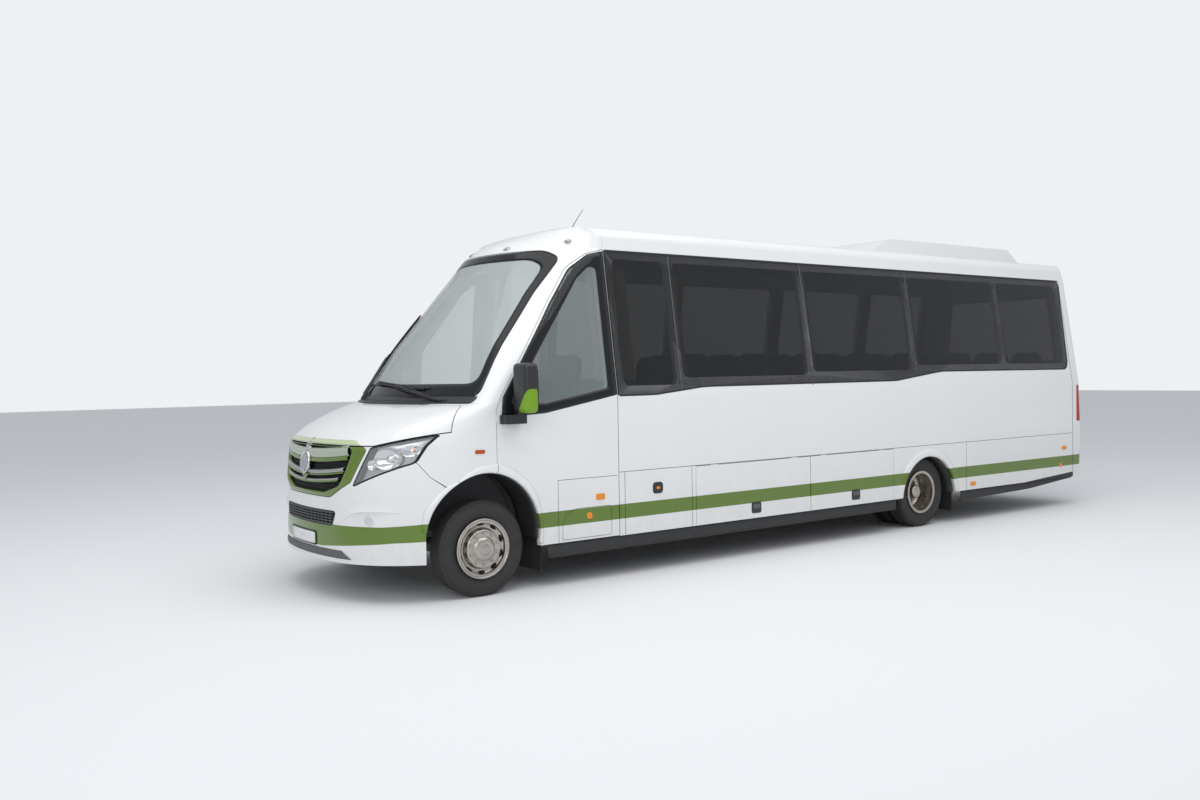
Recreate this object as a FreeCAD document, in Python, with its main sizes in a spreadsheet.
import FreeCAD, Part
import math
import os
import Sketcher
from FreeCAD import Vector

# A mid-size passenger minibus with a full-width coach body on a ladder chassis.
# X points forward, Y to the vehicle's left, Z up. The origin lies on the ground under the
# middle of the body. Every length is in millimetres.

doc = FreeCAD.newDocument("minibus")
sheet = doc.addObject("Spreadsheet::Sheet", "sizes")

# Driving dimensions: alias, value.
SIZES = [
    ("front_overhang", 995),
    ("wheelbase", 5450),
    ("rear_overhang", 3150),
    ("body_width", 2306),
    ("roof_height", 3000),
    ("shoulder_height", 1500),
    ("glass_top_height", 2755),
    ("side_lean", 184),
    ("panel_bottom", 345),
    ("body_wall", 50),
    ("glass_thickness", 6),
    ("shut_gap", 5),
    ("jamb_bevel", 14),
    ("hinge_tilt", 4),
    ("tyre_radius", 372),
    ("tyre_width", 205),
    ("rim_radius", 212),
    ("hub_radius", 62),
    ("front_track", 1990),
    ("rear_track", 1690),
    ("twin_spacing", 250),
    ("kingpin_track", 1640),
    ("front_arch_radius", 485),
    ("front_arch_height", 960),
    ("rear_arch_radius", 460),
    ("rear_arch_height", 758),
    ("frame_width", 860),
    ("frame_bottom", 560),
    ("frame_depth", 190),
    ("rail_width", 70),
    ("floor_top", 790),
    ("floor_thickness", 40),
    ("seat_width", 440),
    ("seat_pitch", 780),
    ("door_front", 100),
    ("pillar_x", 1285),
    ("hatch_top", 875),
    ("roof_unit_length", 2900),
    ("roof_unit_width", 1500),
    ("roof_unit_rise", 120),
    ("steering_wheel_radius", 215),
    ("spindle_radius", 30),
    ("drive_spindle_radius", 45),
    ("kingpin_radius", 20),
    ("hub_reach", 75),
    ("drive_hub_reach", 100),
    ("frame_front", 840),
    ("frame_rear", 2850),
]
for row, (alias, value) in enumerate(SIZES, 1):
    sheet.set("A%d" % row, alias)
    sheet.set("B%d" % row, str(value))
    sheet.setAlias("B%d" % row, alias)
doc.recompute()


def size(alias):
    return float(sheet.get(alias))


def value_of(expression):
    """Number that an expression on the sheet gives."""
    return float(sheet.evalExpression(expression))


HALF = size("body_width") / 2
TOTAL = size("front_overhang") + size("wheelbase") + size("rear_overhang")
AXLE_X = TOTAL / 2 - size("front_overhang")
REAR_AXLE_X = AXLE_X - size("wheelbase")
NOSE_X = TOTAL / 2
TAIL_X = -TOTAL / 2
ROOF = size("roof_height")
SHOULDER = size("shoulder_height")
GLASS_TOP = size("glass_top_height")
LEAN = size("side_lean") / (GLASS_TOP - SHOULDER)
WALL = size("body_wall")
GLASS = size("glass_thickness")
GAP = size("shut_gap")
WHEEL_R = size("tyre_radius")
PILLAR_X = AXLE_X - size("pillar_x")
DOOR_FRONT = AXLE_X - size("door_front")
PANEL_BOTTOM = size("panel_bottom")
FRONT_AXLE = "(sizes.wheelbase + sizes.rear_overhang - sizes.front_overhang) / 2"
REAR_AXLE = "(sizes.rear_overhang - sizes.front_overhang - sizes.wheelbase) / 2"

PIECES = []


def piece(obj, label):
    """Keep a finished object as a sub-part under its own label."""
    obj.Label = label
    PIECES.append(obj)
    return obj


def shaped(label, shape):
    """A sub-part whose shape is worked out from the sheet."""
    obj = doc.addObject("Part::Feature", label)
    obj.Shape = shape
    obj.Placement = FreeCAD.Placement()
    return piece(obj, label)


def bind(obj, **expressions):
    """Tie an object's properties, named with two underscores for a dot, to the sheet."""
    for name, expression in expressions.items():
        obj.setExpression(name.replace("__", "."), expression)
    return obj


def block(name, length, width, height, x, y, z):
    """A box centred on x and y that stands on z, each given as an expression."""
    obj = doc.addObject("Part::Box", name)
    bind(obj, Length=length, Width=width, Height=height)
    bind(obj, Placement__Base__x="(%s) - (%s) / 2" % (x, length))
    bind(obj, Placement__Base__y="(%s) - (%s) / 2" % (y, width))
    bind(obj, Placement__Base__z=z)
    return obj


def rod(name, radius, length, x, y, z, turn):
    """A cylinder from x, y, z; turn is the rotation that lays its axis down."""
    obj = doc.addObject("Part::Cylinder", name)
    obj.Placement = FreeCAD.Placement(Vector(0, 0, 0), turn)
    bind(obj, Radius=radius, Height=length)
    bind(obj, Placement__Base__x=x, Placement__Base__y=y, Placement__Base__z=z)
    return obj


ALONG_X = FreeCAD.Rotation(Vector(0, 1, 0), 90)
ALONG_Y = FreeCAD.Rotation(Vector(1, 0, 0), -90)
UPRIGHT = FreeCAD.Rotation()


def fused(name, parts):
    obj = doc.addObject("Part::MultiFuse", name)
    obj.Shapes = parts
    obj.Refine = True
    return obj


def cut(name, base, tool):
    obj = doc.addObject("Part::Cut", name)
    obj.Base = base
    obj.Tool = tool
    return obj


def gathered(name, parts):
    """Several like solids that don't touch, kept as one sub-part."""
    obj = doc.addObject("Part::Compound", name)
    obj.Links = parts
    return obj


def turned(label, profile, centre):
    """A body turned about the vehicle's Y axis from (radius, offset) expressions."""
    body = doc.addObject("PartDesign::Body", label)
    plane = [f for f in body.Origin.OriginFeatures if f.Role == "XY_Plane"][0]
    sketch = body.newObject("Sketcher::SketchObject", label + "_profile")
    sketch.AttachmentSupport = [(plane, "")]
    sketch.MapMode = "FlatFace"
    spots = [Vector(value_of(r), value_of(y), 0) for r, y in profile]
    count = len(spots)
    for i in range(count):
        sketch.addGeometry(Part.LineSegment(spots[i], spots[(i + 1) % count]), False)
    for i in range(count):
        sketch.addConstraint(Sketcher.Constraint("Coincident", i, 2, (i + 1) % count, 1))
    for i, (r, y) in enumerate(profile):
        for kind, expression in (("DistanceX", r), ("DistanceY", y)):
            index = sketch.addConstraint(
                Sketcher.Constraint(kind, -1, 1, i, 1, value_of(expression)))
            sketch.setExpression("Constraints[%d]" % index, expression)
    spin = body.newObject("PartDesign::Revolution", label + "_turn")
    spin.Profile = sketch
    spin.ReferenceAxis = (sketch, ["V_Axis"])
    spin.Angle = 360
    body.Tip = spin
    x, y, z = centre
    bind(body, Placement__Base__x=x, Placement__Base__y=y, Placement__Base__z=z)
    return body


# Outlines, prisms and wedges

def corner(a, b, c, radius):
    """Ends and middle of the arc that rounds corner b between a and c."""
    to_a = (a - b).normalize()
    to_c = (c - b).normalize()
    half = math.acos(max(-1.0, min(1.0, to_a.dot(to_c)))) / 2
    reach = radius / math.tan(half)
    start = b + to_a * reach
    end = b + to_c * reach
    centre = b + (to_a + to_c).normalize() * (radius / math.sin(half))
    middle = centre + (b - centre).normalize() * radius
    return start, middle, end


def outline(points):
    """Closed wire through 3-D points (point, corner radius)."""
    count = len(points)
    edges = []
    ends = []
    for i in range(count):
        before = points[i - 1][0]
        here, radius = points[i]
        after = points[(i + 1) % count][0]
        if radius > 0:
            ends.append(corner(before, here, after, radius))
        else:
            ends.append((here, None, here))
    for i in range(count):
        start, middle, end = ends[i]
        if middle is not None:
            edges.append(Part.Arc(start, middle, end).toShape())
        following = ends[(i + 1) % count][0]
        run = following - end
        if run.Length > 1e-6:
            if run.dot(points[(i + 1) % count][0] - points[i][0]) < 0:
                raise ValueError("corners %d and %d overlap" % (i, (i + 1) % count))
            edges.append(Part.LineSegment(end, following).toShape())
    return Part.Wire(edges)


def lift(points, axis, level):
    """(a, b[, radius]) pairs placed in the plane across an axis at a level."""
    placed = []
    for point in points:
        a, b = point[0], point[1]
        radius = point[2] if len(point) > 2 else 0
        if axis == "X":
            spot = Vector(level, a, b)
        elif axis == "Y":
            spot = Vector(a, level, b)
        else:
            spot = Vector(a, b, level)
        placed.append((spot, radius))
    return placed


def prism(points, axis, low, high):
    """Outline across an axis, pulled from low to high."""
    face = Part.Face(outline(lift(points, axis, low)))
    way = {"X": Vector(1, 0, 0), "Y": Vector(0, 1, 0), "Z": Vector(0, 0, 1)}[axis]
    return face.extrude(way * (high - low))


def shrunk(points, by):
    """Outline points moved inwards by a distance, corner radii kept true."""
    count = len(points)
    area = sum(points[i][0] * points[(i + 1) % count][1]
               - points[(i + 1) % count][0] * points[i][1] for i in range(count))
    turn = 1 if area > 0 else -1
    moved = []
    for i in range(count):
        ax, az = points[i - 1][:2]
        bx, bz = points[i][:2]
        cx, cz = points[(i + 1) % count][:2]
        first = Vector(bx - ax, bz - az, 0).normalize()
        second = Vector(cx - bx, cz - bz, 0).normalize()
        n1 = Vector(-first.y, first.x, 0) * turn
        n2 = Vector(-second.y, second.x, 0) * turn
        share = by / (1 + n1.dot(n2))
        radius = points[i][2] if len(points[i]) > 2 else 0
        if radius > 0:
            bend = first.x * second.y - first.y * second.x
            radius = max(radius - by * (1 if bend * turn > 0 else -1), 1)
        moved.append((bx + (n1.x + n2.x) * share, bz + (n1.y + n2.y) * share, radius))
    return moved


def through(points, side):
    """Outline pulled through one side of the body."""
    return prism(points, "Y", *sorted((0, side * (HALF + 2 * WALL))))


def jamb(rear_x, side):
    """Cutter that bevels a door's rear edge inwards, upright below the shoulder, leaning above."""
    depth = WALL + 12
    slant = size("jamb_bevel") / WALL * depth
    corners = [(rear_x, side * (HALF + 1)), (rear_x + slant, side * (HALF - depth)),
               (rear_x - WALL, side * (HALF - depth)), (rear_x - WALL, side * (HALF + 1))]
    spots = [Vector(x, y, SHOULDER) for x, y in corners]
    face = Part.Face(Part.makePolygon(spots + spots[:1]))
    rise = ROOF - SHOULDER
    upper = face.extrude(Vector(0, -side * LEAN * rise, rise))
    lower = face.extrude(Vector(0, 0, -SHOULDER))
    return upper.fuse(lower)


def mirrored(shape):
    return shape.mirror(Vector(0, 0, 0), Vector(0, 1, 0))


def at(points):
    """Outline points measured back and forth from the front axle, moved into the frame."""
    return [(p[0] + AXLE_X,) + tuple(p[1:]) for p in points]


# The body's outer form: plan sections at rising heights, from nose to tail.
# Each section is a straight side, a tight corner arc and a broad nose arc, tangent to each
# other, and a straight tail with round corners.
# height, nose setback, where the side begins to turn (from the front axle), nose radius,
# tail setback
SECTIONS = [
    (300, 3, 130, 2600, 60),
    (500, 0, 130, 2600, 30),
    (870, 12, 125, 2600, 0),
    (1190, 45, 100, 2600, 22),
    (1245, 108, 78, 2490, 26),
    (1300, 195, 50, 2400, 30),
    (1350, 297, 18, 2345, 33),
    (1400, 415, -20, 2300, 36),
    (1450, 549, -68, 2245, 39),
    (SHOULDER, 695, -120, 2200, 42),
    (1950, 995, -480, 1700, 50),
    (2400, 1355, -930, 1350, 58),
    (GLASS_TOP, 1645, -1265, 1130, 66),
    (GLASS_TOP + 105, 1795, -1270, 1300, 90),
    (ROOF - 40, 2045, -1275, 3000, 140),
    (ROOF, 2200, -1280, 9000, 175),
]
TAIL_CORNER = 130


def half_width(height):
    """Half width of the body at a height: upright, then leaning in above the shoulder."""
    return HALF - LEAN * max(0, height - SHOULDER)


def plan_section(height, setback, turn, radius, tail, inset):
    """Wire of one plan section, moved inwards by an inset."""
    wide = half_width(height)
    nose = size("front_overhang") - setback
    reach = nose - turn
    tight = (2 * radius * reach - reach ** 2 - wide ** 2) / (2 * radius - 2 * wide)
    mid_tight = Vector(turn + AXLE_X, wide - tight, height)
    mid_broad = Vector(nose - radius + AXLE_X, 0, height)
    along = (mid_tight - mid_broad).normalize()
    share = math.atan2(along.y, along.x)
    side = wide - inset
    small = tight - inset
    broad = radius - inset
    back = TAIL_X + tail + inset
    round_off = TAIL_CORNER - inset

    def spot(centre, r, angle):
        return centre + Vector(r * math.cos(angle), r * math.sin(angle), 0)

    quarter = math.pi / 2
    start = spot(mid_tight, small, quarter)
    meet = spot(mid_tight, small, share)
    left = [
        Part.LineSegment(Vector(back + round_off, side, height), start),
        Part.Arc(start, spot(mid_tight, small, (quarter + share) / 2), meet),
    ]
    flip = Vector(1, -1, 1)

    def other(v):
        return Vector(v.x, -v.y, v.z)

    nose_arc = Part.Arc(meet, spot(mid_broad, broad, 0), other(meet))
    right = [
        Part.Arc(other(meet), other(spot(mid_tight, small, (quarter + share) / 2)), other(start)),
        Part.LineSegment(other(start), Vector(back + round_off, -side, height)),
    ]
    slant = round_off * (1 - math.sqrt(0.5))
    rear = [
        Part.Arc(Vector(back + round_off, -side, height),
                 Vector(back + slant, -side + slant, height),
                 Vector(back, -side + round_off, height)),
        Part.LineSegment(Vector(back, -side + round_off, height),
                         Vector(back, side - round_off, height)),
        Part.Arc(Vector(back, side - round_off, height),
                 Vector(back + slant, side - slant, height),
                 Vector(back + round_off, side, height)),
    ]
    return Part.Wire([g.toShape() for g in left + [nose_arc] + right + rear])


def cross_section(inset):
    """Coach cross-section with rounded cant rails and a cambered roof, pulled end to end."""
    side = HALF - inset
    roof = ROOF - inset
    cant = Vector(0, half_width(ROOF - 160) - inset, ROOF - 160 - inset / 2)
    crown = Vector(0, HALF - 293 - inset, roof - 45)
    bulge = Vector(0, (cant.y + crown.y) / 2 + 20, (cant.z + crown.z) / 2 + 18)

    def other(v):
        return Vector(v.x, -v.y, v.z)

    corner_low = Vector(0, side, 0)
    shoulder = Vector(0, side, SHOULDER)
    edges = [
        Part.LineSegment(other(corner_low), corner_low),
        Part.LineSegment(corner_low, shoulder),
        Part.LineSegment(shoulder, cant),
        Part.Arc(cant, bulge, crown),
        Part.Arc(crown, Vector(0, 0, roof), other(crown)),
        Part.Arc(other(crown), other(bulge), other(cant)),
        Part.LineSegment(other(cant), other(shoulder)),
        Part.LineSegment(other(shoulder), other(corner_low)),
    ]
    face = Part.Face(Part.Wire([g.toShape() for g in edges]))
    solid = face.extrude(Vector(TOTAL + 200, 0, 0))
    solid.translate(Vector(TAIL_X - 100, 0, 0))
    return solid


def body_form(inset):
    """Outer form of the coach moved inwards by an inset."""
    rows = [r for r in SECTIONS if inset < WALL or r[0] < ROOF]
    wires = [plan_section(*r, inset) for r in rows]
    loft = Part.makeLoft(wires, True, True)
    return loft.common(cross_section(inset))


def fresh(shape):
    """A copy to cut with, because each cut loosens the tolerances of the shapes it works on."""
    return shape.copy()


OUTER = body_form(0)
INSIDE = body_form(WALL)
BEHIND_GLASS = body_form(GLASS)

SHELL = fresh(OUTER).cut(INSIDE)
SKIN = fresh(OUTER).cut(BEHIND_GLASS)
LINING = fresh(OUTER).cut(body_form(4 * GLASS))

# The saloon between the middle pillars and the tail is the same cross-section all along
SALOON_SHELL = cross_section(0).cut(cross_section(WALL))
SALOON_SKIN = cross_section(0).cut(cross_section(GLASS))

# Outlines seen from the side: distance from the front axle, height, corner radius

FAR = HALF + 2 * WALL
TAIL_SEAM = -8320

WINDOW_BAND = [
    (-1300, 1521), (-1695, 1521, 300), (-2270, 1579, 600), (-4950, 1582, 600), (-5730, 1671, 600),
    (-8270, 1665, 80), (-8316, GLASS_TOP, 60), (-1300, GLASS_TOP),
]
# Panes behind the band: front, rear, bottom height
PANES = [
    (-1370, -1960, 1600),
    (-2040, -3640, 1660),
    (-3720, -5260, 1690),
    (-5340, -6900, 1740),
    (-6980, -8200, 1740),
]
DOOR_OUTLINE = [
    (-100, 1440), (-140, 1530, 60), (-438, 1957, 400), (-700, 2312, 400), (-935, 2600, 300),
    (-1120, 2720, 150), (-1285, 2760), (-1285, 345), (-100, 345),
]
DOOR_GLASS = [
    (-150, 1380), (-560, 1400, 200), (-1270, 1526, 10), (-1270, 2742, 10), (-1130, 2712, 130),
    (-945, 2585, 300), (-705, 2290, 400), (-445, 1935, 400), (-160, 1530, 60),
]
DOOR_PANE = [
    (-240, 1490, 30), (-560, 1480, 150), (-1190, 1590, 40), (-1190, 2600, 40), (-1110, 2600, 60),
    (-985, 2500, 200), (-560, 1930, 300),
]
ENTRY_FRONT = -520
ENTRY_REAR = -1270
ENTRY_OUTLINE = [
    (ENTRY_FRONT, 345), (ENTRY_FRONT, 2035), (-700, 2290, 300), (-935, 2575, 300),
    (-1120, 2700, 150), (-1270, 2735), (-1270, 345),
]
ENTRY_GLASS = [
    (ENTRY_FRONT - 15, 1450, 20), (-1255, 1560, 20), (-1255, 2712, 10), (-1120, 2680, 120),
    (-945, 2550, 300), (ENTRY_FRONT - 15, 1990, 200),
]
ENTRY_PANE = [
    (ENTRY_FRONT - 80, 1540, 40), (-1185, 1640, 40), (-1185, 2590, 40), (-1110, 2590, 60),
    (-980, 2470, 200), (ENTRY_FRONT - 80, 1935, 30),
]
QUARTER_GLASS = [
    (-150, 1410, 20), (ENTRY_FRONT + 15, 1400, 10), (ENTRY_FRONT + 15, 1985, 10),
    (-445, 1915, 300), (-165, 1535, 60),
]
QUARTER_PANE = [
    (-230, 1480, 30), (ENTRY_FRONT + 70, 1470, 30), (ENTRY_FRONT + 70, 1810, 20),
    (-250, 1560, 40),
]
# Luggage hatches: front, rear
HATCHES = {"front": (-2140, -3620), "rear": (-3620, -4880)}


def arch(centre, radius, top):
    """Wheel arch cutter across the whole width, open downwards."""
    middle = top - radius
    wire = Part.Wire([
        Part.Arc(Vector(centre - radius, -FAR, middle), Vector(centre, -FAR, top),
                 Vector(centre + radius, -FAR, middle)).toShape(),
        Part.LineSegment(Vector(centre + radius, -FAR, middle),
                         Vector(centre + radius, -FAR, 0)).toShape(),
        Part.LineSegment(Vector(centre + radius, -FAR, 0),
                         Vector(centre - radius, -FAR, 0)).toShape(),
        Part.LineSegment(Vector(centre - radius, -FAR, 0),
                         Vector(centre - radius, -FAR, middle)).toShape(),
    ])
    return Part.Face(wire).extrude(Vector(0, 2 * FAR, 0))


FRONT_ARCH = arch(AXLE_X - 5, size("front_arch_radius"), size("front_arch_height"))
REAR_ARCH = arch(REAR_AXLE_X - 31, size("rear_arch_radius"), size("rear_arch_height"))


def slab(x_low, x_high, z_low, z_high, y_low=-FAR, y_high=FAR):
    """Axis-aligned cutter; x is measured from the front axle."""
    return Part.makeBox(x_high - x_low, y_high - y_low, z_high - z_low,
                        Vector(x_low + AXLE_X, y_low, z_low))


def biggest(shape, count=1):
    """The largest solids of a shape, without the slivers that cutting leaves."""
    solids = sorted(shape.Solids, key=lambda s: -s.Volume)[:count]
    if count == 1:
        return solids[0]
    return Part.makeCompound(solids)


NOSE_END = size("front_overhang") + 100
TAIL_END = -(size("wheelbase") + size("rear_overhang")) - 100
CANT = GLASS_TOP + 22
B_LINE = -size("pillar_x")

# Saloon: side walls, roof and tail

def side_wall(side):
    span = slab(TAIL_SEAM, B_LINE - GAP / 2, PANEL_BOTTOM, CANT, *sorted((0, side * FAR)))
    wall = fresh(SALOON_SHELL).common(span).cut(REAR_ARCH)
    for front, rear in HATCHES.values():
        wall = wall.cut(through(at([(front, 300), (front, size("hatch_top")),
                                    (rear, size("hatch_top")), (rear, 300)]), side))
    for front, rear, bottom in PANES:
        wall = wall.cut(prism(at([(front, bottom, 60), (front, GLASS_TOP - 75, 60),
                                  (rear, GLASS_TOP - 75, 60), (rear, bottom, 60)]),
                              "Y", *sorted((0, side * FAR))))
    return wall


def side_glass(side):
    return fresh(SALOON_SKIN).common(prism(at(WINDOW_BAND), "Y", *sorted((0, side * FAR))))


glass_pair = [biggest(side_glass(side)) for side in (1, -1)]
walls = {}
for side, name in ((1, "left"), (-1, "right")):
    walls[name] = side_wall(side).cut(glass_pair[0 if side > 0 else 1])
    shaped("side_wall_" + name, biggest(walls[name]))

roof = fresh(SALOON_SHELL).common(slab(TAIL_SEAM, B_LINE - GAP / 2, CANT, ROOF + 50))
shaped("roof", biggest(roof))

REAR_WINDOW = [(-880, 1700, 110), (880, 1700, 110), (760, 2640, 105), (-760, 2640, 105)]
BOOT_OUTLINE = [(-860, 620, 60), (860, 620, 60), (860, 1500, 60), (-860, 1500, 60)]
tail = fresh(SHELL).common(slab(TAIL_END, TAIL_SEAM - 3, PANEL_BOTTOM, ROOF + 50))
rear_glass = biggest(fresh(SKIN).common(prism(REAR_WINDOW, "X", TAIL_X - 50, TAIL_X + 200)))
tail = tail.cut(prism(shrunk(REAR_WINDOW, 60), "X", TAIL_X - 50, TAIL_X + 300)).cut(rear_glass)
boot_cut = prism(BOOT_OUTLINE, "X", TAIL_X - 50, TAIL_X + 300)
boot_body = biggest(fresh(SHELL).common(prism(shrunk(BOOT_OUTLINE, GAP), "X",
                                       TAIL_X - 50, TAIL_X + 300)))
tail = tail.cut(boot_cut)
REAR_LAMP = [(HALF - 210, 1023, 40), (HALF + 20, 1023), (HALF + 20, 1467), (HALF - 210, 1467, 40)]
lamp_cut = prism(REAR_LAMP, "X", TAIL_X - 50, TAIL_X + 190)
lamps = []
for tool in (lamp_cut, mirrored(lamp_cut)):
    lens = biggest(fresh(LINING).common(tool))
    lamps.append(lens)
    tail = tail.cut(lens)
shaped("rear_wall", biggest(tail))
shaped("rear_lamps", Part.makeCompound(lamps))
shaped("saloon_glass", Part.makeCompound(glass_pair + [rear_glass]))

hatches = {}
for side, name in ((1, "left"), (-1, "right")):
    for place, (front, rear) in HATCHES.items():
        region = through(shrunk(at([(front, PANEL_BOTTOM - GAP), (front, size("hatch_top")),
                                    (rear, size("hatch_top")), (rear, PANEL_BOTTOM - GAP)]),
                                GAP), side)
        hatches["luggage_door_%s_%s" % (name, place)] = (
            biggest(fresh(SALOON_SHELL).common(region)), side, front, rear)

# Cab: bonnet, bumper, wings, pillars with header, doors and glass

SCREEN = [
    (1535, 1057, 60), (1828, 977, 500), (2375, 869, 500), (2690, 835, 110), (2762, 690, 280),
]
screen_wire = [(y, z, r) for z, y, r in SCREEN]
screen_outline = ([(-y, z, r) for y, z, r in screen_wire]
                  + [(y, z, r) for y, z, r in reversed(screen_wire)])
SCREEN_LOW = 1505

WINDSCREEN = prism(screen_outline, "X", PILLAR_X, NOSE_X)
windscreen = biggest(fresh(SKIN).common(WINDSCREEN))
screen_hole = prism(shrunk(screen_outline, 55), "X", PILLAR_X + 60, NOSE_X)

BONNET_PLAN = [
    (1100, -1200), (1100, 1200), (380, 1200), (103, 1002, 40), (210, 800, 300), (250, 0, 900),
    (210, -800, 300), (103, -1002, 40), (380, -1200),
]
BONNET_GAP = 1.8 * GAP
# The bonnet's outline from the front: its lower edge rises along the top of each headlamp
BONNET_FRONT = [
    (-1160, 1293), (-807, 1187), (807, 1187), (1160, 1293), (1160, SCREEN_LOW - 12),
    (-1160, SCREEN_LOW - 12),
]


def bonnet_region(inset):
    plan = prism(at(shrunk(BONNET_PLAN, inset)), "Z", 1000, 1700)
    return plan.common(prism(shrunk(BONNET_FRONT, inset), "X", AXLE_X - 200, NOSE_X + 100))


bonnet_tool = bonnet_region(0)
bonnet = biggest(fresh(LINING).common(bonnet_region(BONNET_GAP)))

GRILLE = [
    (-777, 1187, 30), (777, 1187, 30), (650, 915, 60), (420, 790, 120), (-420, 790, 120),
    (-650, 915, 60),
]
HEADLAMP = [(790, 1182, 15), (655, 872, 15), (1041, 1062, 60), (1100, 1275, 10)]
LOWER_GRILLE = [(-500, 692, 25), (500, 692, 25), (450, 575, 40), (-450, 575, 40)]
grille_tool = prism(GRILLE, "X", AXLE_X + 500, NOSE_X + 50)
lamp_tool = prism(HEADLAMP, "X", AXLE_X + 150, NOSE_X + 50)
lower_tool = prism(LOWER_GRILLE, "X", AXLE_X + 500, NOSE_X + 50)
grille = biggest(fresh(LINING).common(grille_tool))
headlamps = [biggest(fresh(SHELL).common(tool)) for tool in (lamp_tool, mirrored(lamp_tool))]

bumper = fresh(SHELL).common(prism(at([(320, 250), (NOSE_END, 250), (NOSE_END, 1187), (700, 1187),
                                (524, 1060), (441, 952), (320, 862)]), "Y", -FAR, FAR))
bumper = bumper.cut(FRONT_ARCH).cut(grille_tool).cut(lamp_tool).cut(mirrored(lamp_tool))
bumper = biggest(bumper.cut(lower_tool))
lower_mesh = biggest(fresh(LINING).common(lower_tool))
shaped("front_bumper", bumper)
shaped("grille", Part.makeCompound([grille, lower_mesh]))
shaped("headlamps", Part.makeCompound(headlamps))

cab = fresh(SHELL).common(slab(B_LINE, NOSE_END, PANEL_BOTTOM, ROOF + 50))
cab = cab.cut(FRONT_ARCH).cut(bonnet_tool).cut(windscreen).cut(screen_hole)
cab = cab.cut(prism(at([(310, 200), (NOSE_END, 200), (NOSE_END, 1192), (700, 1192),
                        (520, 1063), (438, 955), (310, 866)]), "Y", -FAR, FAR))
cab = cab.cut(grille_tool).cut(lamp_tool).cut(mirrored(lamp_tool)).cut(lower_tool)
cab = cab.cut(through(at(DOOR_OUTLINE), 1)).cut(through(at(ENTRY_OUTLINE), -1))
quarter_glass = biggest(fresh(SKIN).common(prism(at(QUARTER_GLASS), "Y", -FAR, 0)))
cab = cab.cut(quarter_glass).cut(prism(at(QUARTER_PANE), "Y", -FAR, 0))
cab = biggest(cab, 1)
shaped("cab_shell", cab)
shaped("windscreen", Part.makeCompound([windscreen, quarter_glass]))

door_glass = biggest(fresh(SKIN).common(prism(at(DOOR_GLASS), "Y", 0, FAR)))
door = biggest(fresh(SHELL).common(through(shrunk(at(DOOR_OUTLINE), GAP), 1)))
door = door.cut(jamb(PILLAR_X + GAP, 1)).cut(through(at(DOOR_PANE), 1)).cut(FRONT_ARCH)
door = biggest(door.cut(door_glass))
# The entry door is worked out on the left and mirrored
entry_glass = biggest(fresh(SKIN).common(prism(at(ENTRY_GLASS), "Y", 0, FAR)))
entry = biggest(fresh(SHELL).common(through(shrunk(at(ENTRY_OUTLINE), GAP), 1)))
entry = entry.cut(jamb(AXLE_X + ENTRY_REAR + GAP, 1)).cut(through(at(ENTRY_PANE), 1))
entry = mirrored(biggest(entry.cut(entry_glass)))
entry_glass = mirrored(entry_glass)

# Hinge pins lie in the shut gap, centred on the joint's axis, and stay on the moving panel

PIN = GAP / 2 - 0.15


def pinned(panel, start, end, spots, length, into):
    """Panel with short hinge pins on its axis and a web from each to the panel's edge."""
    along = (end - start).normalize()
    full = (end - start).Length
    for spot in spots:
        foot = start + along * (full * spot - length / 2)
        pin = Part.makeCylinder(PIN, length, foot, along)
        across = into.normalize() * (GAP / 2 + 1)
        flat = along.cross(into).normalize() * (PIN / 2)
        face = Part.makePolygon([foot - flat, foot + flat, foot + flat + across,
                                 foot - flat + across, foot - flat])
        web = Part.Face(face).extrude(along * length)
        panel = panel.fuse(pin).fuse(web)
    return biggest(panel)


DOOR_AXIS_X = DOOR_FRONT - GAP / 2
ENTRY_AXIS_X = AXLE_X + ENTRY_FRONT - GAP / 2
BARREL = (1340, 1400)
BARREL_R = 5.5
LEAF_LENGTH = 14


def door_hinge(x, side):
    """Barrel and leaf of a cab door's hinge. Its line tilts inwards and meets the shoulder."""
    ends = [Vector(x, side * (HALF + (SHOULDER - z) * math.tan(math.radians(size("hinge_tilt")))),
                   z) for z in BARREL]
    barrel = Part.makeCylinder(BARREL_R, (ends[1] - ends[0]).Length, ends[0], ends[1] - ends[0])
    low, high = sorted((side * (HALF - 2), side * (ends[0].y * side + 1)))
    leaf = Part.makeBox(LEAF_LENGTH, high - low, BARREL[1] - BARREL[0] - 6,
                        Vector(x - 1.5 - LEAF_LENGTH, low, BARREL[0] + 3))
    return barrel.fuse(leaf)


HATCH_AXIS_Z = size("hatch_top") - GAP / 2
BOOT_AXIS_Z = 1500 - GAP / 2
BOOT_AXIS_X = TAIL_X + 42

shaped("driver_door", biggest(door.fuse(door_hinge(DOOR_AXIS_X, 1))))
shaped("driver_door_glass", door_glass)
shaped("entry_door", biggest(entry.fuse(door_hinge(ENTRY_AXIS_X, -1))))
shaped("entry_door_glass", entry_glass)
for label, panel in hatches.items():
    side, front, rear = panel[1:]
    shaped(label, pinned(panel[0],
                         Vector(AXLE_X + rear, side * HALF, HATCH_AXIS_Z),
                         Vector(AXLE_X + front, side * HALF, HATCH_AXIS_Z),
                         (0.15, 0.85), 80, Vector(0, 0, -1)))
shaped("boot_door", pinned(boot_body, Vector(BOOT_AXIS_X, -700, BOOT_AXIS_Z),
                           Vector(BOOT_AXIS_X, 700, BOOT_AXIS_Z), (0.1, 0.9), 80,
                           Vector(0, 0, -1)))
shaped("bonnet", bonnet)

# Wheels: offsets are measured outwards from the middle plane of the wheel

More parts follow.
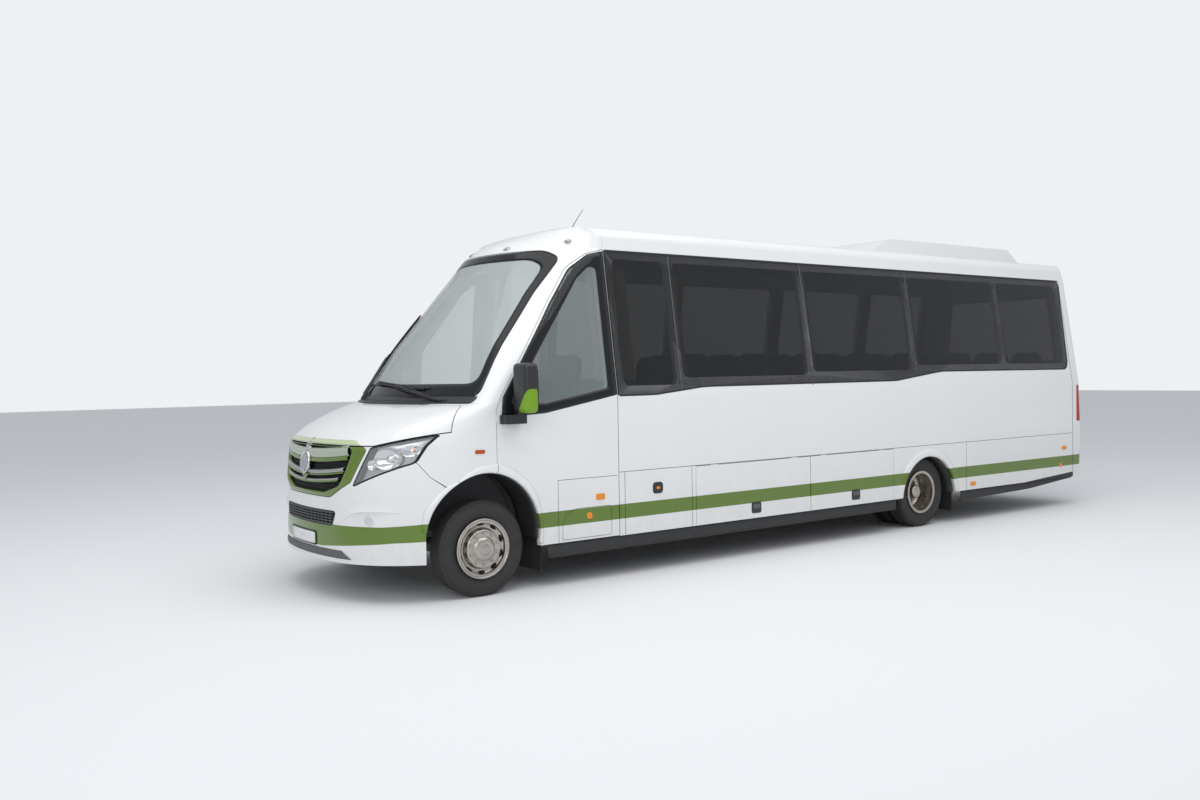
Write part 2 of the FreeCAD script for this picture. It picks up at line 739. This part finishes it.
TYRE_SECTION = [
    ("sizes.rim_radius", -0.36), ("sizes.rim_radius + 85", -0.5), ("sizes.tyre_radius - 22", -0.47),
    ("sizes.tyre_radius", -0.36), ("sizes.tyre_radius", 0.36), ("sizes.tyre_radius - 22", 0.47),
    ("sizes.rim_radius + 85", 0.5), ("sizes.rim_radius", 0.36),
]


def tyre_profile(side, middle):
    return [(r, "%d * (%s + sizes.tyre_width * %s)" % (side, middle, share))
            for r, share in TYRE_SECTION]


def rim_edge(sign, middle):
    """Flange and barrel of one rim, from its inner lip round to the bead seat."""
    rows = [("sizes.rim_radius - 12", 0.46), ("sizes.rim_radius + 16", 0.48),
            ("sizes.rim_radius + 18", 0.46), ("sizes.rim_radius - 0.3", 0.45)]
    return [(r, "%s + %d * sizes.tyre_width * %s" % (middle, sign, share)) for r, share in rows]


def single_rim():
    """Front rim: crowned disc near the outer lip, hub with a cap and a blind bore."""
    return ([("0", "sizes.hub_reach"), ("45", "sizes.hub_reach"),
             ("sizes.hub_radius", "sizes.hub_reach - 15"), ("sizes.hub_radius", "32"),
             ("130", "40"), ("185", "20"), ("sizes.rim_radius - 12", "20")]
            + rim_edge(1, "0") + rim_edge(-1, "0")[::-1]
            + [("sizes.rim_radius - 12", "8"), ("185", "8"), ("130", "28"),
               ("sizes.hub_radius", "20"), ("sizes.hub_radius", "-45"),
               ("sizes.spindle_radius + 0.05", "-45"), ("sizes.spindle_radius + 0.05", "35"),
               ("0", "35")])


def twin_rim():
    """Rear pair: two barrels on one dished disc, with a long drive hub in the outer dish."""
    half = "sizes.twin_spacing / 2"
    return ([("0", "sizes.drive_hub_reach"), ("60", "sizes.drive_hub_reach"),
             ("75", "sizes.drive_hub_reach - 15"), ("110", "sizes.drive_hub_reach - 25"),
             ("110", "16"), ("184", "16"), ("sizes.rim_radius - 12", "46")]
            + rim_edge(1, half) + rim_edge(-1, half)[::-1]
            + [("190", "8"), ("190", "-8")]
            + rim_edge(1, "0 - " + half) + rim_edge(-1, "0 - " + half)[::-1]
            + [("sizes.rim_radius - 12", "-46"), ("184", "-16"), ("110", "-16"), ("110", "-60"),
               ("sizes.drive_spindle_radius + 0.05", "-60"),
               ("sizes.drive_spindle_radius + 0.05", "60"), ("0", "60")])


def sided(profile, side):
    return [(r, "%d * (%s)" % (side, y)) for r, y in profile]


for side, name in ((1, "left"), (-1, "right")):
    front = (FRONT_AXLE, "%d * sizes.front_track / 2" % side, "sizes.tyre_radius")
    rear = (REAR_AXLE, "%d * sizes.rear_track / 2" % side, "sizes.tyre_radius")
    piece(turned("front_tyre_" + name, tyre_profile(side, "0"), front), "front_tyre_" + name)
    piece(turned("front_rim_" + name, sided(single_rim(), side), front), "front_rim_" + name)
    twins = [turned("rear_tyre_%s_%s" % (name, place),
                    tyre_profile(side, "%s sizes.twin_spacing / 2" % sign), rear)
             for place, sign in (("outer", "0 +"), ("inner", "0 -"))]
    piece(gathered("rear_tyres_" + name, twins), "rear_tyres_" + name)
    piece(turned("rear_rims_" + name, sided(twin_rim(), side), rear), "rear_rims_" + name)

# Front axle: a dropped beam with an eye at each end, and a forked knuckle on a kingpin

WHEEL_Z = "sizes.tyre_radius"
beam = block("beam_middle", "90", "sizes.kingpin_track - 260", "90", FRONT_AXLE, "0",
             WHEEL_Z + " - 120")
ends = []
for side, name in ((1, "left"), (-1, "right")):
    y_pin = "%d * sizes.kingpin_track / 2" % side
    rise = block("beam_rise_" + name, "80", "80", "170", FRONT_AXLE,
                 "%d * (sizes.kingpin_track / 2 - 110)" % side, WHEEL_Z + " - 120")
    bridge = block("beam_bridge_" + name, "80", "120", "100", FRONT_AXLE,
                   "%d * (sizes.kingpin_track / 2 - 60)" % side, WHEEL_Z + " - 50")
    eye = rod("beam_eye_" + name, "45", "120", FRONT_AXLE, y_pin, WHEEL_Z + " - 60", UPRIGHT)
    bore = rod("beam_bore_" + name, "sizes.kingpin_radius + 0.05", "300", FRONT_AXLE, y_pin,
               WHEEL_Z + " - 150", UPRIGHT)
    ends.append(cut("bored_eye_" + name, fused("eye_blank_" + name, [eye, bridge, rise]), bore))
piece(fused("front_axle", [beam] + ends), "front_axle")

for side, name in ((1, "left"), (-1, "right")):
    y_pin = "%d * sizes.kingpin_track / 2" % side
    pin = rod("kingpin_" + name, "sizes.kingpin_radius", "200", FRONT_AXLE, y_pin,
              WHEEL_Z + " - 100", UPRIGHT)
    y_fork = "%d * (sizes.kingpin_track / 2 + 15)" % side
    upper = block("fork_upper_" + name, "90", "120", "34", FRONT_AXLE, y_fork, WHEEL_Z + " + 61")
    lower = block("fork_lower_" + name, "90", "120", "34", FRONT_AXLE, y_fork, WHEEL_Z + " - 95")
    cheek = block("fork_cheek_" + name, "90", "20", "190", FRONT_AXLE,
                  "%d * (sizes.kingpin_track / 2 + 60)" % side, WHEEL_Z + " - 95")
    reach = "(sizes.front_track - sizes.kingpin_track) / 2 + 34 - 60"
    spindle = rod("spindle_" + name, "sizes.spindle_radius", reach, FRONT_AXLE,
                  "%d * (sizes.kingpin_track / 2 + 60)" % side, WHEEL_Z,
                  FreeCAD.Rotation(Vector(1, 0, 0), -90 * side))
    arm = block("steering_arm_" + name, "180", "24", "24", FRONT_AXLE + " - 120",
                "%d * (sizes.kingpin_track / 2 + 20)" % side, WHEEL_Z + " - 92")
    piece(fused("knuckle_" + name, [pin, upper, lower, cheek, spindle, arm]), "knuckle_" + name)

# Rear axle: tubes, bowl with its pinion nose, brake drums and spindles

tube = rod("axle_tube", "58", "sizes.rear_track - 150", REAR_AXLE,
           "0 - (sizes.rear_track - 150) / 2", "sizes.tyre_radius", ALONG_Y)
bowl = rod("axle_bowl", "150", "240", REAR_AXLE, "-120", "sizes.tyre_radius", ALONG_Y)
nose = rod("axle_nose", "70", "260", REAR_AXLE, "0", "sizes.tyre_radius", ALONG_X)
spindles = rod("axle_spindles", "sizes.drive_spindle_radius", "sizes.rear_track + 116", REAR_AXLE,
               "0 - (sizes.rear_track + 116) / 2", "sizes.tyre_radius", ALONG_Y)
drums = []
for side, name in ((1, "left"), (-1, "right")):
    drums.append(rod("drum_" + name, "160", "120", REAR_AXLE,
                     "%d * (sizes.rear_track / 2 - 126) - 60" % side, "sizes.tyre_radius",
                     ALONG_Y))
piece(fused("rear_axle", [tube, bowl, nose, spindles] + drums), "rear_axle")

# Ladder frame

RAIL_Y = "(sizes.frame_width - sizes.rail_width) / 2"
frame_length = "sizes.wheelbase + sizes.frame_front + sizes.frame_rear"
frame_middle = REAR_AXLE + " + (sizes.wheelbase + sizes.frame_front - sizes.frame_rear) / 2"
rails = [block("rail_" + name, frame_length, "sizes.rail_width", "sizes.frame_depth", frame_middle,
               "%d * (%s)" % (side, RAIL_Y), "sizes.frame_bottom")
         for side, name in ((1, "left"), (-1, "right"))]
CROSS_STATIONS = [790, -650, -1500, -2350, -3200, -4050, -4800, -6100, -6950, -7750, -8260]
TOW_HOLES = [(y, z) for y in (-80, 80) for z in (-28, 28)]
crossings = [block("cross_%02d" % i, "80", "sizes.frame_width - sizes.rail_width", "110",
                   FRONT_AXLE + " + %d" % station, "0", "sizes.frame_bottom + 40")
             for i, station in enumerate(CROSS_STATIONS)]
tow_bolts = [rod("tow_hole_%d" % i, "6.5", "120", FRONT_AXLE + " + %d" % (CROSS_STATIONS[-1] - 60),
                 str(y), "sizes.frame_bottom + %d" % (95 + z), ALONG_X)
             for i, (y, z) in enumerate(TOW_HOLES)]
crossings[-1] = cut("tow_member", crossings[-1], gathered("tow_holes", tow_bolts))
piece(fused("chassis_frame", rails + crossings), "chassis_frame")


def leaf(centre_x, y, seat, top, reach):
    """One arched leaf pack that lies on its axle's seat and hangs from the rail at both ends."""
    wide = size("rail_width") / 2
    thick = 44
    rise = top - seat - 70
    arch_wire = Part.Wire([
        Part.Arc(Vector(-reach, 0, seat + rise), Vector(0, 0, seat),
                 Vector(reach, 0, seat + rise)).toShape(),
        Part.LineSegment(Vector(reach, 0, seat + rise), Vector(reach, 0, seat + rise + thick))
        .toShape(),
        Part.Arc(Vector(reach, 0, seat + rise + thick), Vector(0, 0, seat + thick),
                 Vector(-reach, 0, seat + rise + thick)).toShape(),
        Part.LineSegment(Vector(-reach, 0, seat + rise + thick), Vector(-reach, 0, seat + rise))
        .toShape(),
    ])
    spring = Part.Face(arch_wire).extrude(Vector(0, 2 * wide, 0))
    spring.translate(Vector(centre_x, y - wide, 0))
    for end in (-1, 1):
        spring = spring.fuse(Part.makeBox(60, 2 * wide, top - seat - rise,
                                          Vector(centre_x + end * (reach - 30) - 30, y - wide,
                                                 seat + rise)))
    return biggest(spring.removeSplitter())


rail_y = (size("frame_width") - size("rail_width")) / 2
spring_top = size("frame_bottom")
springs = []
for side in (1, -1):
    springs.append(leaf(AXLE_X, side * rail_y, WHEEL_R - 30, spring_top, 620))
    springs.append(leaf(REAR_AXLE_X, side * rail_y, WHEEL_R + 58, spring_top, 720))
shaped("leaf_springs", Part.makeCompound(springs))

# Engine with gearbox, shaft and exhaust, fuel tank, luggage trays, floor

engine = block("engine", "680", "560", "560", FRONT_AXLE + " + 350", "0", "480")
gearbox = block("gearbox", "520", "260", "250", FRONT_AXLE + " - 250", "0", "400")
shaft_length = "sizes.wheelbase - 500 - 260"
shaft = rod("propeller_shaft", "40", shaft_length, REAR_AXLE + " + 260", "0",
            "sizes.tyre_radius + 58", ALONG_X)
piece(fused("powertrain", [engine, gearbox, shaft]), "powertrain")

tank_x = FRONT_AXLE + " - 1700"
tank = block("tank_blank", "700", "560", "300", tank_x, "sizes.frame_width / 2 + 280.3", "360")
piece(tank, "fuel_tank")

SILL_Y = HALF - WALL - 8
FLOOR_TOP = size("floor_top")
FLOOR_LOW = FLOOR_TOP - size("floor_thickness")
TRAY = 20
trays = []
for side in (1, -1):
    inner, outer = size("frame_width") / 2 + 0.3, SILL_Y
    low, high = sorted((side * inner, side * outer))
    tray = slab(-4900, -2110, PANEL_BOTTOM, FLOOR_LOW, low, high)
    hollow_low, hollow_high = sorted((side * (inner + TRAY), side * (outer + 50)))
    tray = tray.cut(slab(-4900 + TRAY, -2110 - TRAY, PANEL_BOTTOM + TRAY, FLOOR_LOW + 10,
                         hollow_low, hollow_high))
    trays.append(biggest(tray))
shaped("luggage_trays", Part.makeCompound(trays))

WELL_INNER = 640
WELL_R = size("front_arch_radius") + 15
INNER_HALF = HALF - WALL - 0.3
INSIDE_FLOOR = body_form(WALL + 0.3)
# Floor plate, step boxes and wheel boxes are separate solids, a hair apart
floor = slab(TAIL_SEAM - 100, -560, FLOOR_LOW, FLOOR_TOP, -INNER_HALF, INNER_HALF)
floor = floor.fuse(slab(-560, -60, FLOOR_LOW, FLOOR_TOP, -WELL_INNER + 0.3, WELL_INNER - 0.3))
STEP_FRONT, STEP_REAR, STEP_INNER = -560, -1270, 690
boxes = []
for side in (1, -1):
    hole_low, hole_high = sorted((side * (STEP_INNER - 15.3), side * (INNER_HALF + 5)))
    floor = floor.cut(slab(STEP_REAR - 15.3, STEP_FRONT + 15.3, FLOOR_LOW - 5, FLOOR_TOP + 5,
                           hole_low, hole_high))
    box = slab(STEP_REAR - 15, STEP_FRONT + 15, PANEL_BOTTOM, FLOOR_TOP,
               *sorted((side * (STEP_INNER - 15), side * (SILL_Y - 15))))
    box = box.cut(slab(STEP_REAR, STEP_FRONT, PANEL_BOTTOM + 30, FLOOR_TOP + 10,
                       *sorted((side * STEP_INNER, side * FAR))))
    boxes.append(box)
    outer_well = arch(AXLE_X - 5, WELL_R + 14, size("front_arch_height") + 29)
    inner_well = arch(AXLE_X - 5, WELL_R, size("front_arch_height") + 15)
    span = Part.makeBox(2 * WELL_R + 100, INNER_HALF - WELL_INNER, 700,
                        Vector(AXLE_X - WELL_R - 60, WELL_INNER if side > 0 else -INNER_HALF, 560))
    well = outer_well.common(span).cut(inner_well)
    plate = outer_well.common(Part.makeBox(2 * WELL_R + 100, 12, 700,
                                           Vector(AXLE_X - WELL_R - 60,
                                                  WELL_INNER if side > 0 else -WELL_INNER - 12,
                                                  560)))
    boxes.append(biggest(well.fuse(plate).common(INSIDE_FLOOR).removeSplitter()))
shaped("floor", Part.makeCompound([biggest(floor.removeSplitter())] + boxes))

SKIRT_LOW, SKIRT_TOP = 235, PANEL_BOTTOM - 0.3
skirts = []
for side in (1, -1):
    low, high = sorted((side * (SILL_Y - 45), side * (SILL_Y - 16)))
    skirts.append(slab(-5015, -545, SKIRT_LOW, SKIRT_TOP, low, high))
    low, high = sorted((side * (SILL_Y - 35), side * (HALF - 20)))
    skirts.append(slab(TAIL_SEAM + 10, -5965, SKIRT_LOW, SKIRT_TOP, low, high))
shaped("skirts", Part.makeCompound(skirts))

flaps = []
for side in (1, -1):
    low, high = sorted((side * 700, side * (SILL_Y - 15)))
    flaps.append(slab(-544.7, -536, 130, 560, low, high))
    low, high = sorted((side * 600, side * (SILL_Y - 15)))
    flaps.append(slab(-5964.7, -5956, 130, 600, low, high))
shaped("mudflaps", Part.makeCompound(flaps))

# Cab furniture and seats

DASH = [(-60, 1000), (-60, 1330, 60), (-260, 1380, 40), (-330, 1250, 60), (-290, 1000, 30)]
FIREWALL = (-90, -60, FLOOR_TOP + 0.3, 1300)
STEER_X, STEER_Y, STEER_Z, STEER_TILT = -420, 480, 1400, 35
wheel_axis = Vector(-math.sin(math.radians(STEER_TILT)), 0, math.cos(math.radians(STEER_TILT)))
hub_at = Vector(STEER_X + AXLE_X, STEER_Y, STEER_Z)
column = Part.makeCylinder(32, 130, hub_at - wheel_axis * 56, -wheel_axis)
dash = prism(at(DASH), "Y", -920, 920).fuse(slab(*FIREWALL, -WELL_INNER, WELL_INNER))
shaped("dashboard", biggest(dash.fuse(column)))
ring = Part.makeTorus(size("steering_wheel_radius"), 16, hub_at, wheel_axis)
boss = Part.makeCylinder(45, 60, hub_at - wheel_axis * 50, wheel_axis)
across = wheel_axis.cross(Vector(0, 1, 0)).normalize()
wheel = ring.fuse(boss)
for angle in (0, 120, 240):
    arm_way = Vector(0, 1, 0) * math.cos(math.radians(angle)) + across * math.sin(
        math.radians(angle))
    wheel = wheel.fuse(Part.makeCylinder(13, size("steering_wheel_radius"), hub_at, arm_way))
shaped("steering_wheel", biggest(wheel))

SEAT_SECTION = [
    (0, 0), (0, 330), (-40, 400, 30), (-40, 450, 40), (430, 470, 60), (430, 340, 40), (300, 300),
    (260, 0),
]
BACK_SECTION = [(-40, 440), (40, 440), (-60, 1080, 40), (-150, 1080, 40)]


def seat(front_x, low_y, high_y, base):
    """A seat facing forward: plinth with cushion, and a raked back, in one closed block."""
    foot = prism([(front_x - 450 + a, base + b) + tuple(r) for a, b, *r in SEAT_SECTION], "Y",
                 low_y, high_y)
    back = prism([(front_x - 450 + a, base + b) + tuple(r) for a, b, *r in BACK_SECTION], "Y",
                 low_y, high_y)
    return biggest(foot.fuse(back).removeSplitter())


SEAT_W = size("seat_width")
AISLE_HALF = 133
seats = [seat(AXLE_X - 690, 480 - SEAT_W / 2 - 20, 480 + SEAT_W / 2 + 20, FLOOR_TOP + 0.3)]
ROWS = int((size("wheelbase") + size("rear_overhang") - 2150) / size("seat_pitch"))
for row in range(ROWS):
    front_x = AXLE_X - 1900 - row * size("seat_pitch")
    for side in (1, -1):
        if side < 0 and row == 0:
            continue
        low, high = sorted((side * AISLE_HALF, side * (AISLE_HALF + 2 * SEAT_W)))
        seats.append(seat(front_x, low, high, FLOOR_TOP + 0.3))
shaped("seats", Part.makeCompound(seats))

CURTAIN_OFF, CURTAIN_DEPTH = 4, 22
CURTAINS = [(-1400, 150), (-2030, 110), (-3690, 130), (-5310, 130), (-6950, 130), (-8180, 120)]
curtains = []
for side in (1, -1):
    for x, width in CURTAINS:
        low, high = 1640, 2680
        section = [(side * (half_width(z) - WALL - d), z)
                   for z, d in ((low, CURTAIN_OFF), (high, CURTAIN_OFF),
                                (high, CURTAIN_OFF + CURTAIN_DEPTH),
                                (low, CURTAIN_OFF + CURTAIN_DEPTH))]
        curtains.append(prism(section, "X", AXLE_X + x - width, AXLE_X + x))
shaped("curtains", Part.makeCompound(curtains))

# Roof unit, aerial, lamps, wipers and mirrors

UNIT = size("roof_unit_rise")
unit_front = AXLE_X - 4950
unit_rear = unit_front - size("roof_unit_length")
unit = prism([(unit_front, ROOF - 60), (unit_front - 420, ROOF + UNIT, 300),
              (unit_rear + 260, ROOF + UNIT, 200), (unit_rear, ROOF - 60)], "Y",
             -size("roof_unit_width") / 2, size("roof_unit_width") / 2)
shaped("roof_unit", biggest(unit.cut(fresh(OUTER))))

aerial_foot = Vector(AXLE_X - 1060, 0, ROOF - 60)
aerial = Part.makeCone(28, 14, 90, aerial_foot)
aerial = aerial.fuse(Part.makeCylinder(4, 260, aerial_foot + Vector(0, 0, 80),
                                       Vector(-0.35, 0, 1)))
shaped("aerial", biggest(aerial.cut(fresh(OUTER))))

# side marker lamps on fixed panels: distance from the front axle, height, length, height, side
MARKERS = [(48, 1126, 90, 30), (-1703, 717, 100, 45), (-6257, 409, 90, 40), (-8125, 708, 90, 40)]
LAMP_PROUD = 9
markers = []
for x, z, length, tall in MARKERS:
    for side in (1, -1):
        low, high = sorted((side * (HALF - 15), side * (HALF + LAMP_PROUD)))
        lamp = slab(x - length / 2, x + length / 2, z - tall / 2, z + tall / 2, low, high)
        markers.append(biggest(lamp.cut(fresh(OUTER))))
shaped("marker_lamps", Part.makeCompound(markers))

# wiper points on the screen, across and height: the arm's foot, then the blade's two ends
WIPERS = [
    ((-560, 1515), (-760, 1560), (-520, 2260)),
    ((789, 1515), (509, 1606), (-380, 1656)),
]
WIPER_R = 8
# The feet are low, so that the bonnet's rear edge swings past them
PIVOT_R, PIVOT_PROUD = 11, 7


def nose_at(y, z):
    """How far forward the outer skin is at a place on the front."""
    line = Part.makeLine(Vector(PILLAR_X, y, z), Vector(NOSE_X + 10, y, z))
    inside = fresh(OUTER).common(line)
    return max(v.X for v in inside.Vertexes)


def over_screen(y, z, lift_off):
    return Vector(nose_at(y, z) + lift_off, y, z)


def bent(points, radius):
    """A round bar along the arc through three points."""
    arc = Part.Arc(*points).toShape()
    ring = Part.makeCircle(radius, points[0], arc.tangentAt(arc.FirstParameter))
    return Part.Wire([arc]).makePipeShell([Part.Wire([ring])], True, False)


wipers = []
for foot, low_tip, high_tip in WIPERS:
    middle = ((low_tip[0] + high_tip[0]) / 2, (low_tip[1] + high_tip[1]) / 2)
    half_way = ((foot[0] + middle[0]) / 2, (foot[1] + middle[1]) / 2)
    blade = bent([over_screen(*low_tip, 16), over_screen(*middle, 18),
                  over_screen(*high_tip, 16)], WIPER_R)
    arm = bent([over_screen(*foot, 2), over_screen(*half_way, 24),
                over_screen(*middle, 26)], WIPER_R - 2.5)
    pivot = Part.makeCylinder(PIVOT_R, 30 + PIVOT_PROUD, over_screen(*foot, -30), Vector(1, 0, 0))
    wipers.append(biggest(pivot.fuse(arm).cut(fresh(OUTER)).fuse(blade)))
shaped("wipers", Part.makeCompound(wipers))

MIRROR_OUT, MIRROR_LOW, MIRROR_HIGH = 245, 1415, 1800
for side, name, MIRROR_X in ((1, "left", -285), (-1, "right", -425)):
    y0 = side * (HALF + 0.3)
    low, high = sorted((side * (HALF + 35), side * (HALF + MIRROR_OUT)))
    case = slab(MIRROR_X - 60, MIRROR_X + 60, MIRROR_LOW, MIRROR_HIGH, low, high)
    case = case.makeFillet(38, case.Edges)
    low, high = sorted((y0, side * (HALF + 90)))
    foot = slab(MIRROR_X - 40, MIRROR_X + 150, 1330, 1400, low, high)
    foot = foot.fuse(slab(MIRROR_X - 40, MIRROR_X + 40, 1390, 1440,
                          *sorted((side * (HALF + 40), side * (HALF + 90)))))
    shaped("mirror_" + name, biggest(case.fuse(foot)))

# Every object has to be sound before anything is written

doc.recompute()
for obj in doc.Objects:
    if "Invalid" in obj.State or "Error" in obj.State:
        raise RuntimeError("failed: " + obj.Name)
os.makedirs("parts", exist_ok=True)
unsound = [obj.Label for obj in PIECES
           if obj.Shape.isNull() or not obj.Shape.isValid() or not obj.Shape.Solids]
for obj in PIECES:
    shape = obj.Shape
    box = shape.BoundBox
    print("%-26s %d solids %2d  %7.0f %7.0f %7.0f %7.0f %6.0f %6.0f  vol %.4f" % (
        obj.Label, shape.isValid(), len(shape.Solids), box.XMin, box.XMax, box.YMin, box.YMax,
        box.ZMin, box.ZMax, shape.Volume / 1e9))
if unsound:
    raise RuntimeError("unsound: " + ", ".join(unsound))
for obj in PIECES:
    obj.Shape.exportStep("parts/%s.step" % obj.Label)
